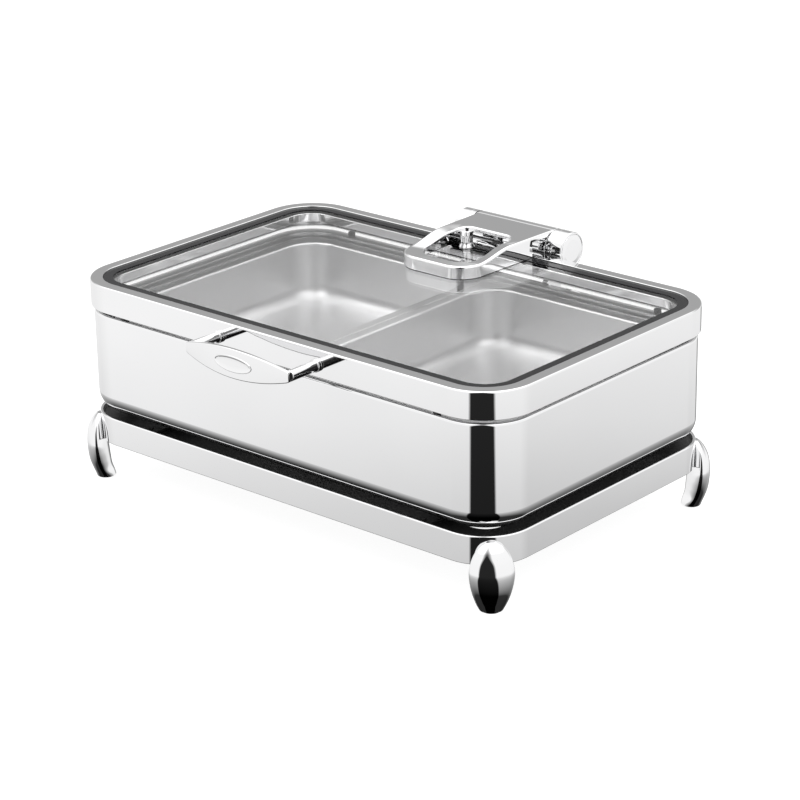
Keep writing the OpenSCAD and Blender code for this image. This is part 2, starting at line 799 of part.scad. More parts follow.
// Channel gasket: lips over and under the glass edge, and a web between them
module glass_gasket() {
    web_x = lid_r - gasket_in;
    outer_x = lid_r - lid_rim_w - gap / 2;
    arm_cut = arm_half + 1.2;
    color(BLACK) difference() {
        around(lid_w, lid_d, lid_r) {
            for (z = [glass_z - gasket_t, glass_top])
                translate([web_x - gasket_lip, z]) square([outer_x - web_x + gasket_lip, gasket_t]);
            translate([web_x, glass_z - gasket_t]) square([outer_x - web_x, glass_t + 2 * gasket_t]);
        }
        span([-arm_cut, 140, glass_top], [arm_cut, lid_d / 2, lid_top]);
        span([-post_x - 15, 140, glass_z - 3], [post_x + 15, post_y + 11, glass_z]);
    }
}

module handle_posts() {
    color(STEEL) for (s = [-1, 1]) difference() {
        union() {
            rod_y(s * post_span / 2, grip_z, post_r, lid_front - post_len, lid_front - gap / 2);
            rod_y(s * post_span / 2, grip_z, post_r + 1, lid_front - 3, lid_front - gap / 2);
        }
        rod_y(s * post_span / 2, grip_z, 2.6, lid_front - 14, lid_front + 1);
    }
}

module handle_screws() {
    color("gray") for (s = [-1, 1]) {
        rod_y(s * post_span / 2, grip_z, 2.4, lid_front - 12, lid_front + sheet);
        rod_y(s * post_span / 2, grip_z, 5, lid_front + sheet, lid_front + sheet + 3);
    }
}

// Grip: a plate with a lens-shaped front view, bowed forwards between the posts
function bulge(half, height, way = 1) = let (steps = 16)
    [for (i = [0:steps]) let (t = 1 - 2 * i / steps) [-way * half * t, height * (1 - t * t)]];
function moved(points, dy) = [for (p = points) [p[0], p[1] + dy]];

module handle_grip() {
    half = post_span / 2 + 2.5;
    rise = (grip_h - grip_tip_h) / 2;
    back_y = lid_front - post_len;
    color(STEEL) intersection() {
        translate([0, 0, grip_z - grip_h]) linear_extrude(2 * grip_h)
            polygon(concat(moved(bulge(half, -grip_bow), back_y - grip_t),
                moved(bulge(half, -grip_bow, -1), back_y - run)));
        translate([0, lid_front, grip_z]) rotate([90, 0, 0]) linear_extrude(80)
            polygon(concat(moved(bulge(half, rise), grip_tip_h / 2),
                moved(bulge(half, -rise, -1), -grip_tip_h / 2)));
    }
}

// Blank oval badge on the front of the grip
module handle_badge() {
    half_w = 27;
    half_h = 8.5;
    side_r = (half_w * half_w + half_h * half_h) / (2 * half_h);
    front_y = lid_front - post_len - grip_t - grip_bow;
    color("whitesmoke") translate([0, front_y, grip_z]) rotate([90, 0, 0]) linear_extrude(0.9)
        intersection() {
            translate([0, half_h - side_r]) circle(side_r, $fn = 96);
            translate([0, -half_h + side_r]) circle(side_r, $fn = 96);
            square([2 * half_w - 6, 2 * half_h], center = true);
        }
}

// ---------- assembly ----------

stand_ring();
stand_shelf();
leg(-1, -1);  // leg_front_left
leg(1, -1);  // leg_front_right
leg(-1, 1);  // leg_rear_left
leg(1, 1);  // leg_rear_right
foot_glides();
leg_screws();
rail(-1);  // rail_left
rail(1);  // rail_right
rail_pads();
rail_screws();
heater_tray();
heater_insulation();
heating_element();
heater_plate();
heater_brackets();
control_box();
control_panel();
thermostat();
thermostat_shaft();
thermostat_knob();
switch_body();
switch_rocker();
power_inlet();
inlet_pins();
indicator_lamp();
terminal_block();
wire_grommet();
supply_wires();
element_wires();
thermal_cutout();
control_screws();
water_pan();
pan_rim();
food_pan_at(-1);  // food_pan_left
food_pan_at(1);  // food_pan_right
pan_support_bar();
lid_bumpers();
hinge_base();
hinge_base_screws();
hinge_pin();
hinge_cap(-1);  // hinge_cap_left
hinge_cap(1);  // hinge_cap_right
hinge_arm();
hinge_bushes();
hinge_damper();
clamp_posts();
clamp_plate();
clamp_bolts();
lid_frame();
glass_panel();
glass_gasket();
handle_posts();
handle_grip();
handle_badge();
handle_screws();
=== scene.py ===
"""Looks of the electric buffet server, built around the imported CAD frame.

Sizes are in millimetres, except where Blender needs metres: MM turns one into the other. The stage's
lights and floor are in metres.
"""

import json
import math

import bmesh
import bpy
from mathutils import Matrix, Vector


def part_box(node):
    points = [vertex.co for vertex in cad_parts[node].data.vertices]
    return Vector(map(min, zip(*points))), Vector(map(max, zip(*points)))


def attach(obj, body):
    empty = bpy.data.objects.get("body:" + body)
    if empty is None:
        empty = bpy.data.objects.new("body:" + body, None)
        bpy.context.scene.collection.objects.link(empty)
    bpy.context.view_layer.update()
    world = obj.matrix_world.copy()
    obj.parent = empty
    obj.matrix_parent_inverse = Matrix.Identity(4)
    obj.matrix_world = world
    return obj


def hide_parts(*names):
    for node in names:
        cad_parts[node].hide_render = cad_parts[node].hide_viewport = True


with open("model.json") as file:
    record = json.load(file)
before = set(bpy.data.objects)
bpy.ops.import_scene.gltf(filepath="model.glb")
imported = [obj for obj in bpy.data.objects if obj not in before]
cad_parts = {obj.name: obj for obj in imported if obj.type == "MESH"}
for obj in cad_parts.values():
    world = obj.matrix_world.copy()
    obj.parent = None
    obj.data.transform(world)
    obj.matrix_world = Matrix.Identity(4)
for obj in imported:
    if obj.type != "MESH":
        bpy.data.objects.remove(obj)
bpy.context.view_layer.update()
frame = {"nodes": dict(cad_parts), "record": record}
MM = 0.001


def cad_size(node):
    """Lowest and highest corners of a CAD node, in millimetres."""
    low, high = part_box(node)
    return low / MM, high / MM


# ---------- driving sizes, read from the frame where it has them ----------

lid_low, lid_high = cad_size("lid_frame")
LID_W, LID_D = lid_high.x - lid_low.x, lid_high.y - lid_low.y
LID_Z, LID_TOP = lid_low.z, lid_high.z
LID_R = 56
pan_low, pan_high = cad_size("water_pan")
PAN_W, PAN_D = pan_high.x - pan_low.x, pan_high.y - pan_low.y
PAN_Z, PAN_TOP = pan_low.z, pan_high.z
PAN_R = LID_R - (LID_W - PAN_W) / 2
ring_low, ring_high = cad_size("stand_ring")
RING_Z, RING_TOP = ring_low.z, ring_high.z
glass_low, glass_high = cad_size("glass_panel")
GLASS_Z, GLASS_TOP = glass_low.z, glass_high.z
GLASS_IN = (LID_W - (glass_high.x - glass_low.x)) / 2
pin_low, pin_high = cad_size("hinge_pin")
AXIS_Y, AXIS_Z = (pin_low.y + pin_high.y) / 2, (pin_low.z + pin_high.z) / 2
arm_low, arm_high = cad_size("hinge_arm")
BARREL_R = arm_high.z - AXIS_Z
ARM_HALF = arm_high.x
grip_low, grip_high = cad_size("handle_grip")
SHEET = 1.5
CORNER_STEPS = 28


# ---------- camera and studio ----------

CAMERA_AZIMUTH, CAMERA_ELEVATION, CAMERA_ROLL = 41.365, 21.116, -0.969
CAMERA_LENS, CAMERA_SENSOR = 120.85, 36
AIM_DEPTH = 2790.95
AIM_SIDE, AIM_UP = -10.36, 116.94


def camera_axes():
    """Right, up and backward directions of the camera."""
    az, el, roll = (math.radians(a) for a in (CAMERA_AZIMUTH, CAMERA_ELEVATION, CAMERA_ROLL))
    back = Vector((math.sin(az) * math.cos(el), -math.cos(az) * math.cos(el), math.sin(el)))
    right = Vector((math.cos(az), math.sin(az), 0))
    up = back.cross(right)
    return right * math.cos(roll) + up * math.sin(roll), up * math.cos(roll) - right * math.sin(roll), back


def make_camera():
    """A long lens at the angle of a catalogue view, aimed beside the middle of the lid's top."""
    right, up, back = camera_axes()
    aimed_at = Vector((0, 0, LID_TOP))
    place = aimed_at - right * AIM_SIDE - up * AIM_UP + back * AIM_DEPTH
    data = bpy.data.cameras.new("camera")
    data.lens, data.sensor_width = CAMERA_LENS, CAMERA_SENSOR
    data.clip_start, data.clip_end = 0.05, 50
    camera = bpy.data.objects.new("camera", data)
    camera.matrix_world = Matrix.Translation(place * MM) @ Matrix((right, up, back)).transposed().to_4x4()
    bpy.context.scene.collection.objects.link(camera)
    bpy.context.scene.camera = camera


make_camera()


# ---------- nodes ----------

def node_tree(material_or_world):
    material_or_world.use_nodes = True
    tree = material_or_world.node_tree
    tree.nodes.clear()
    return tree


def add(tree, kind, **values):
    """A node with its properties, and its inputs where a value's name is an input's."""
    node = tree.nodes.new(kind)
    for name, value in values.items():
        if name in node.inputs:
            node.inputs[name].default_value = value
        else:
            setattr(node, name, value)
    return node


def ramp(tree, source, stops, interpolation="LINEAR"):
    """A colour ramp with stops of (place, grey)."""
    node = add(tree, "ShaderNodeValToRGB")
    node.color_ramp.interpolation = interpolation
    elements = node.color_ramp.elements
    while len(elements) < len(stops):
        elements.new(0.5)
    for element, (place, grey) in zip(elements, stops):
        element.position = place
        element.color = (grey, grey, grey, 1)
    tree.links.new(source, node.inputs["Fac"])
    return node.outputs["Color"]


def calc(tree, operation, a, b=None, clamp=False):
    """A Math node: a and b are sockets or numbers."""
    node = add(tree, "ShaderNodeMath", operation=operation, use_clamp=clamp)
    for socket, value in zip(node.inputs, (a, b)):
        if isinstance(value, bpy.types.NodeSocket):
            tree.links.new(value, socket)
        elif value is not None:
            socket.default_value = value
    return node.outputs[0]


# ---------- the studio around the object ----------

OPENING_AZIMUTH = CAMERA_AZIMUTH - 8
# Tables of (height, value), where height is 0 straight down, 0.5 level and 1 straight up
OPENING_EDGE = [(0.0, 0.60), (0.32, 0.89), (0.55, 0.93), (0.75, 0.965), (0.95, 0.985), (1.0, 1.0)]
WALL_LIGHT = [(0.0, 0.02), (0.13, 0.03), (0.21, 0.30), (0.27, 0.52), (0.3, 0.70), (0.316, 0.87),
              (0.334, 0.96), (0.76, 1.0)]
FAR_GREY = [(0.5, 0.0), (0.57, 0.6), (0.72, 0.6), (0.78, 0.1), (1.0, 0.0)]
BEHIND_DARK = [(0.0, 0.8), (0.42, 0.8), (0.48, 0.0), (1.0, 0.0)]
SIDE_DIM = [(0.0, 0.3), (0.30, 0.22), (0.33, 0.08), (0.4, 0.0), (1.0, 0.0)]
OVERHEAD_START, OVERHEAD_LIGHT = 0.78, 0.8
OPENING_DEPTH = 0.98


def past(tree, value, limit, slope):
    """How far a value is past a limit, from 0 to 1."""
    return calc(tree, "MULTIPLY", calc(tree, "SUBTRACT", value, limit), slope, clamp=True)


def short_of(tree, value, limit, slope):
    """How far a value is short of a limit, from 0 to 1."""
    return calc(tree, "MULTIPLY", calc(tree, "SUBTRACT", limit, value), slope, clamp=True)


def darkened(tree, light, amount):
    """The light less a share of it."""
    return calc(tree, "MULTIPLY", light, calc(tree, "SUBTRACT", 1.0, amount))


def directions(tree):
    """For a ray's direction: how nearly it points to the opening, from -1 to 1, and its height."""
    coords = add(tree, "ShaderNodeTexCoord")
    split = add(tree, "ShaderNodeSeparateXYZ")
    tree.links.new(coords.outputs["Generated"], split.inputs[0])
    x, y, z = split.outputs
    az = math.radians(OPENING_AZIMUTH)
    squares = [calc(tree, "MULTIPLY", axis, axis) for axis in (x, y)]
    flat = calc(tree, "MAXIMUM", calc(tree, "SQRT", calc(tree, "ADD", *squares)), 1e-4)
    across = calc(tree, "MULTIPLY", x, math.sin(az))
    along = calc(tree, "SUBTRACT", across, calc(tree, "MULTIPLY", y, math.cos(az)))
    height = calc(tree, "MULTIPLY_ADD", z, 0.5)
    height.node.inputs[2].default_value = 0.5
    return calc(tree, "DIVIDE", along, flat), height


def make_world():
    """A white tent with a dark opening near the camera and a grey wall across from it.
    Direct sight of it is plain white; reflections see the tent."""
    world = bpy.data.worlds.new("studio")
    bpy.context.scene.world = world
    tree = node_tree(world)
    link = tree.links.new
    along, height = directions(tree)
    # Walls that darken downwards, with a brighter roof
    overhead = past(tree, height, OVERHEAD_START, 8)
    roof = calc(tree, "MULTIPLY", overhead, OVERHEAD_LIGHT)
    tent = calc(tree, "ADD", ramp(tree, height, WALL_LIGHT), roof)
    # Grey above eye level on the far side
    far = short_of(tree, along, -0.35, 1.9)
    tent = darkened(tree, tent, calc(tree, "MULTIPLY", far, ramp(tree, height, FAR_GREY)))
    # A dark strip low down behind the object, which outlines its rounded sides
    behind = short_of(tree, along, -0.9, 12)
    tent = darkened(tree, tent, calc(tree, "MULTIPLY", behind, ramp(tree, height, BEHIND_DARK)))
    # The side to the right is a little dimmer than the side to the left
    side = short_of(tree, along, 0.1, 1.6)
    tent = darkened(tree, tent, calc(tree, "MULTIPLY", side, ramp(tree, height, SIDE_DIM)))
    # The opening, which narrows with height
    inside = past(tree, along, ramp(tree, height, OPENING_EDGE), 28)
    tent = darkened(tree, tent, calc(tree, "MULTIPLY", inside, OPENING_DEPTH))
    path = add(tree, "ShaderNodeLightPath")
    direct = calc(tree, "MAXIMUM", path.outputs["Is Camera Ray"], path.outputs["Is Diffuse Ray"])
    strength = add(tree, "ShaderNodeMix", data_type="FLOAT")
    link(direct, strength.inputs[0])
    link(tent, strength.inputs[2])
    strength.inputs[3].default_value = 1.0
    background = add(tree, "ShaderNodeBackground", Color=(1, 1, 1, 1))
    link(strength.outputs[0], background.inputs["Strength"])
    link(background.outputs[0], add(tree, "ShaderNodeOutputWorld").inputs[0])


def make_floor():
    """A pale floor, kept out of the mirrors, where the tent stands in for it."""
    bm = bmesh.new()
    bmesh.ops.create_grid(bm, x_segments=1, y_segments=1, size=6)
    mesh = bpy.data.meshes.new("floor")
    bm.to_mesh(mesh)
    floor = bpy.data.objects.new("floor", mesh)
    bpy.context.scene.collection.objects.link(floor)
    material = bpy.data.materials.new("floor")
    tree = node_tree(material)
    shader = add(tree, "ShaderNodeBsdfDiffuse", Color=(0.3, 0.3, 0.3, 1))
    glow = add(tree, "ShaderNodeEmission", Color=(1, 1, 1, 1), Strength=0.92)
    both = add(tree, "ShaderNodeAddShader")
    tree.links.new(shader.outputs[0], both.inputs[0])
    tree.links.new(glow.outputs[0], both.inputs[1])
    tree.links.new(both.outputs[0], add(tree, "ShaderNodeOutputMaterial").inputs[0])
    mesh.materials.append(material)
    floor.visible_glossy = False


def make_light(name, place, size, power):
    data = bpy.data.lights.new(name, "AREA")
    data.shape, data.size, data.energy = "SQUARE", size, power
    light = bpy.data.objects.new(name, data)
    light.location = place
    light.rotation_euler = (-Vector(place)).to_track_quat("-Z", "Y").to_euler()
    light.visible_glossy = False
    light.visible_camera = False
    bpy.context.scene.collection.objects.link(light)


make_world()
make_floor()
make_light("key", (-1.2, -1.4, 2.4), 1.6, 14)
make_light("fill", (1.8, 0.9, 2.0), 1.6, 8)
bpy.context.scene.view_settings.view_transform = "Standard"


# ---------- materials ----------

def new_material(name, **values):
    material = bpy.data.materials.new(name)
    tree = node_tree(material)
    shader = add(tree, "ShaderNodeBsdfPrincipled", **values)
    tree.links.new(shader.outputs[0], add(tree, "ShaderNodeOutputMaterial").inputs[0])
    return material, tree, shader


def object_coords(tree, scale):
    coords = add(tree, "ShaderNodeTexCoord")
    mapping = add(tree, "ShaderNodeMapping")
    mapping.inputs["Scale"].default_value = scale
    tree.links.new(coords.outputs["Object"], mapping.inputs["Vector"])
    return mapping.outputs[0]


def noise(tree, scale, stretch=(1, 1, 1), detail=3.0):
    node = add(tree, "ShaderNodeTexNoise", Scale=scale, Detail=detail)
    tree.links.new(object_coords(tree, stretch), node.inputs["Vector"])
    return node.outputs["Fac"]


def vary(tree, shader, source, low, high):
    """Roughness that follows a texture between two values."""
    spread = add(tree, "ShaderNodeMapRange")
    spread.inputs["To Min"].default_value = low
    spread.inputs["To Max"].default_value = high
    tree.links.new(source, spread.inputs["Value"])
    tree.links.new(spread.outputs[0], shader.inputs["Roughness"])


def bump(tree, shader, source, strength, distance):
    node = add(tree, "ShaderNodeBump", Strength=strength, Distance=distance)
    tree.links.new(source, node.inputs["Height"])
    tree.links.new(node.outputs[0], shader.inputs["Normal"])


def tint(tree, shader, source, dark, light):
    """Base colour that follows a texture between two colours."""
    mix = add(tree, "ShaderNodeMix", data_type="RGBA")
    mix.inputs[6].default_value = (*dark, 1)
    mix.inputs[7].default_value = (*light, 1)
    tree.links.new(source, mix.inputs[0])
    tree.links.new(mix.outputs[2], shader.inputs["Base Color"])


def grey(value):
    return (value, value, value * 1.005)


def mirror_steel(name, shade, rough):
    """Buffed stainless steel: a mirror with faint polishing marks."""
    material, tree, shader = new_material(name, Metallic=1.0)
    tint(tree, shader, noise(tree, 9, detail=2.0), grey(shade - 0.02), grey(shade + 0.02))
    vary(tree, shader, noise(tree, 160, (1, 1, 4)), rough, rough + 0.025)
    bump(tree, shader, noise(tree, 35, detail=1.0), 0.015, 0.0004)
    return material


def satin_steel(name, shade, rough, stretch):
    """Steel with a grain: fine lines that run one way."""
    material, tree, shader = new_material(name, Metallic=1.0)
    grain = noise(tree, 60, stretch, detail=4.0)
    tint(tree, shader, grain, grey(shade - 0.05), grey(shade + 0.05))
    vary(tree, shader, grain, rough - 0.05, rough + 0.06)
    bump(tree, shader, grain, 0.08, 0.0002)
    return material


def moulded(name, colour, rough, grain_size=900, depth=0.12, shine=0.5):
    """Moulded plastic, rubber or ceramic: a fine grain on a plain colour."""
    material, tree, shader = new_material(name, **{"Specular IOR Level": shine})
    grain = noise(tree, grain_size)
    dark = tuple(c * 0.85 for c in colour)
    tint(tree, shader, grain, dark, colour)
    vary(tree, shader, grain, rough - 0.05, rough + 0.08)
    bump(tree, shader, grain, depth, 0.0002)
    return material


def metal(name, colour, rough):
    material, tree, shader = new_material(name, Metallic=1.0)
    spots = noise(tree, 120)
    tint(tree, shader, spots, tuple(c * 0.9 for c in colour), colour)
    vary(tree, shader, spots, rough - 0.04, rough + 0.06)
    bump(tree, shader, spots, 0.04, 0.0002)
    return material


def clear_glass(name):
    """Clear tempered glass with barely visible waviness."""
    material, tree, shader = new_material(
        name, **{"Base Color": (0.995, 0.995, 0.995, 1), "Transmission Weight": 1.0, "IOR": 1.5})
    vary(tree, shader, noise(tree, 40), 0.0, 0.006)
    return material


def fibre(name, colour):
    material, tree, shader = new_material(name, Roughness=0.95)
    threads = noise(tree, 260, (1, 6, 1), detail=6.0)
    tint(tree, shader, threads, tuple(c * 0.6 for c in colour), colour)
    bump(tree, shader, threads, 0.8, 0.002)
    return material


MATERIALS = {
    "polished_steel": mirror_steel("polished_steel", 0.93, 0.02),
    "chrome_parts": mirror_steel("chrome_parts", 0.94, 0.015),
    "satin_steel": satin_steel("satin_steel", 0.92, 0.42, (1, 18, 18)),
    "plain_steel": satin_steel("plain_steel", 0.6, 0.3, (1, 12, 12)),
    "dark_enamel": moulded("dark_enamel", (0.012, 0.012, 0.012), 0.5),
    "screw_steel": metal("screw_steel", (0.62, 0.62, 0.63), 0.25),
    "bearing_brass": metal("bearing_brass", (0.78, 0.6, 0.3), 0.3),
    "damper_metal": moulded("damper_metal", (0.05, 0.06, 0.065), 0.4),
    "rubber": moulded("rubber", (0.035, 0.035, 0.035), 0.75),
    "black_gasket": moulded("black_gasket", (0.02, 0.02, 0.021), 0.14, 500, 0.03, 0.2),
    "black_plastic": moulded("black_plastic", (0.035, 0.035, 0.038), 0.45),
    "rocker_plastic": moulded("rocker_plastic", (0.42, 0.02, 0.015), 0.25, 700, 0.03),
    "lamp_lens": moulded("lamp_lens", (0.8, 0.3, 0.04), 0.15, 300, 0.05),
    "cream_ceramic": moulded("cream_ceramic", (0.78, 0.74, 0.64), 0.6),
    "insulation": fibre("insulation", (0.72, 0.67, 0.55)),
    "element_sheath": metal("element_sheath", (0.2, 0.185, 0.17), 0.45),
    "cast_aluminium": metal("cast_aluminium", (0.58, 0.58, 0.58), 0.42),
    "wire_sleeve": fibre("wire_sleeve", (0.55, 0.53, 0.48)),
    "clear_glass": clear_glass("clear_glass"),
}
for entry in frame["record"]["subparts"]:
    node = frame["nodes"][entry["node"]]
    node.data.materials.clear()
    node.data.materials.append(MATERIALS[entry["material_slot"]])


# ---------- mesh tools ----------

def make_piece(name, points, faces, body, slot, replaced=(), sharp=40):
    """A piece from points in millimetres, with smooth shading that breaks at sharp edges."""
    mesh = bpy.data.meshes.new(name)
    mesh.from_pydata([Vector(p) * MM for p in points], [], faces)
    bm = bmesh.new()
    bm.from_mesh(mesh)
    bmesh.ops.remove_doubles(bm, verts=bm.verts, dist=1e-7)
    bmesh.ops.recalc_face_normals(bm, faces=bm.faces)
    bm.to_mesh(mesh)
    bm.free()
    piece = bpy.data.objects.new(name, mesh)
    bpy.context.scene.collection.objects.link(piece)
    for polygon in mesh.polygons:
        polygon.use_smooth = True
    mesh.set_sharp_from_angle(angle=math.radians(sharp))
    weighted = piece.modifiers.new("flat_faces_lead", "WEIGHTED_NORMAL")
    weighted.keep_sharp = True
    weighted.weight = 90
    mesh.materials.append(MATERIALS[slot])
    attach(piece, body)
    if replaced:
        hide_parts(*replaced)
    return piece


def fillet(corners, steps=5, closed=True):
    """A 2D outline from corners of (a, b) or (a, b, radius), with each radius as an arc."""
    count = len(corners)
    outline = []
    for i, corner in enumerate(corners):
        here = Vector(corner[:2])
        radius = corner[2] if len(corner) > 2 else 0
        if not radius or (not closed and i in (0, count - 1)):
            outline.append(tuple(here))
            continue
        before = Vector(corners[i - 1][:2]) - here
        after = Vector(corners[(i + 1) % count][:2]) - here
        turn = before.angle(after)
        reach = min(radius / math.tan(turn / 2), before.length * 0.49, after.length * 0.49)
        radius = reach * math.tan(turn / 2)
        start = here + before.normalized() * reach
        halfway = (before.normalized() + after.normalized()).normalized()
        middle = here + halfway * (radius / math.sin(turn / 2))
        first = start - middle
        sweep = math.pi - turn
        side = 1 if before.x * after.y - before.y * after.x < 0 else -1
        for k in range(steps + 1):
            a = side * sweep * k / steps
            spun = Vector((first.x * math.cos(a) - first.y * math.sin(a),
                           first.x * math.sin(a) + first.y * math.cos(a)))
            outline.append(tuple(middle + spun))
    return outline


def rounded_loop(width, depth, radius, z, centre=(0, 0)):
    """Points round a rounded rectangle, the same number whatever its size."""
    radius = max(radius, 0.5)
    points = []
    for sx, sy, start in ((1, -1, -90), (1, 1, 0), (-1, 1, 90), (-1, -1, 180)):
        cx, cy = sx * (width / 2 - radius) + centre[0], sy * (depth / 2 - radius) + centre[1]
        for k in range(CORNER_STEPS + 1):
            a = math.radians(start + 90 * k / CORNER_STEPS)
            points.append((cx + radius * math.cos(a), cy + radius * math.sin(a), z))
    return points


def skin(loops, closed=False, caps=True):
    """Points and faces of a surface through loops of equal length. Closed joins the last to the first."""
    n = len(loops[0])
    points = [p for loop in loops for p in loop]
    faces = []
    rows = len(loops)
    for i in range(rows if closed else rows - 1):
        a, b = i * n, (i + 1) % rows * n
        faces += [(a + j, a + (j + 1) % n, b + (j + 1) % n, b + j) for j in range(n)]
    if caps and not closed:
        faces.append(tuple(range(n - 1, -1, -1)))
        faces.append(tuple(range((rows - 1) * n, rows * n)))
    return points, faces


def swept(name, profile, width, depth, radius, body, slot, replaced=(), closed=True, sharp=40):
    """A profile of (inset, height) carried round a rounded rectangle."""
    loops = [rounded_loop(width - 2 * i, depth - 2 * i, radius - i, z) for i, z in profile]
    points, faces = skin(loops, closed)
    return make_piece(name, points, faces, body, slot, replaced, sharp)


def lathed(name, profile, place, axis, body, slot, replaced=(), steps=72, sharp=40):
    """A closed profile of (radius, distance along the axis) turned about an axis through place."""
    turn = Vector((0, 0, 1)).rotation_difference(Vector(axis)).to_matrix()
    loops = []
    for r, h in profile:
        ring = [Vector((r * math.cos(2 * math.pi * k / steps), r * math.sin(2 * math.pi * k / steps), h))
                for k in range(steps)]
        loops.append([tuple(turn @ p + Vector(place)) for p in ring])
    points, faces = skin(loops, caps=True)
    return make_piece(name, points, faces, body, slot, replaced, sharp)


def together(name, pieces, replaced=()):
    """Joins pieces that are one kind of part into one object."""
    with bpy.context.temp_override(active_object=pieces[0], selected_editable_objects=pieces):
        bpy.ops.object.join()
    pieces[0].name = name
    if replaced:
        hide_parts(*replaced)
    return pieces[0]


# ---------- lid ----------

RIM_IN = 13.5
LEDGE_IN = 29.5
LEDGE_Z = GLASS_Z - 0.8
SKIRT_Z = LEDGE_Z - 9.5
HEM_IN = 8
BORDER_IN = 24.5
BORDER_TOP = GLASS_TOP + 0.75


def lid_frame():
    """Folded sheet: hem, outer band, flat rim, step down to the glass, ledge and inner skirt."""
    under = LEDGE_Z - SHEET
    profile = fillet([
        (0, LID_Z, 0.5), (0, LID_TOP, 1.9), (RIM_IN, LID_TOP, 0.7), (RIM_IN, LEDGE_Z, 0.2),
        (LEDGE_IN, LEDGE_Z, 0.9), (LEDGE_IN, SKIRT_Z, 0.6), (LEDGE_IN - SHEET, SKIRT_Z, 0.6),
        (LEDGE_IN - SHEET, under, 0.3), (RIM_IN - SHEET, under, 0.3), (RIM_IN - SHEET, LID_TOP - SHEET, 0.3),
        (SHEET, LID_TOP - SHEET, 0.5), (SHEET, LID_Z + SHEET, 0.3), (HEM_IN, LID_Z + SHEET, 0.6),
        (HEM_IN, LID_Z, 0.6)])
    swept("lid_frame_shell", profile, LID_W, LID_D, LID_R, "lid", "polished_steel", ["lid_frame"])


def lid_border():
    """Glossy black channel seal that covers the edge of the glass above and below."""
    web = GLASS_IN - 0.05
    profile = fillet([
        (RIM_IN + 0.1, LEDGE_Z + 0.02, 0.1), (RIM_IN + 0.1, BORDER_TOP, 0.4), (BORDER_IN, BORDER_TOP, 0.5),
        (BORDER_IN, GLASS_TOP + 0.02, 0.1), (web, GLASS_TOP + 0.02), (web, GLASS_Z - 0.02),
        (BORDER_IN, GLASS_Z - 0.02, 0.1), (BORDER_IN, LEDGE_Z + 0.02, 0.3)], steps=3)
    swept("glass_border_seal", profile, LID_W, LID_D, LID_R, "lid", "black_gasket", ["glass_gasket"])


def lid_glass():
    edge = GLASS_IN
    profile = fillet([
        (edge + 40, GLASS_TOP), (edge, GLASS_TOP, 0.6), (edge, GLASS_Z, 0.6), (edge + 40, GLASS_Z)],
        steps=3, closed=False)
    swept("tempered_glass", profile, LID_W, LID_D, LID_R, "lid", "clear_glass", ["glass_panel"],
          closed=False)


# ---------- water pan and food pans ----------

WALL_T = 1.5
BOTTOM_R = 28
SHOULDER_R = 4
SEAM_IN = 7
FLANGE_IN = 15
LEDGE_TOP = PAN_TOP - 7
SHELF_IN = 31


def water_pan():
    """Deep-drawn body with a large bottom radius, one closed skin outside and inside."""
    floor_in = PAN_R - 8
    outside = fillet([
        (floor_in, PAN_Z), (0, PAN_Z, BOTTOM_R), (0, PAN_TOP, SHOULDER_R), (SEAM_IN, PAN_TOP, 0.3),
        (SEAM_IN, PAN_TOP - WALL_T, 0.3), (WALL_T, PAN_TOP - WALL_T, SHOULDER_R - WALL_T),
        (WALL_T, PAN_Z + WALL_T, BOTTOM_R - WALL_T), (floor_in, PAN_Z + WALL_T)], steps=14, closed=False)
    swept("water_pan_body", outside, PAN_W, PAN_D, PAN_R, "vessel", "polished_steel", ["water_pan"],
          closed=False)


def pan_rim():
    profile = fillet([
        (SEAM_IN + 0.05, PAN_TOP, 0.3), (FLANGE_IN, PAN_TOP, 1.2), (FLANGE_IN, LEDGE_TOP, 0.6),
        (SHELF_IN, LEDGE_TOP, 0.7), (SHELF_IN, LEDGE_TOP - SHEET, 0.7),
        (FLANGE_IN - SHEET, LEDGE_TOP - SHEET, 1.0), (FLANGE_IN - SHEET, PAN_TOP - SHEET, 0.4),
        (SEAM_IN + 0.05, PAN_TOP - SHEET, 0.3)])
    swept("pan_rim_shell", profile, PAN_W, PAN_D, PAN_R, "vessel", "plain_steel", ["pan_rim"])


FOOD_FLANGE = (12, 12.5)
FOOD_T = 1
FOOD_R, FOOD_RIM_R, FOOD_FLOOR_R = 36, 20, 18
FOOD_LIP_R = 3
FOOD_DRAFT = math.radians(3)


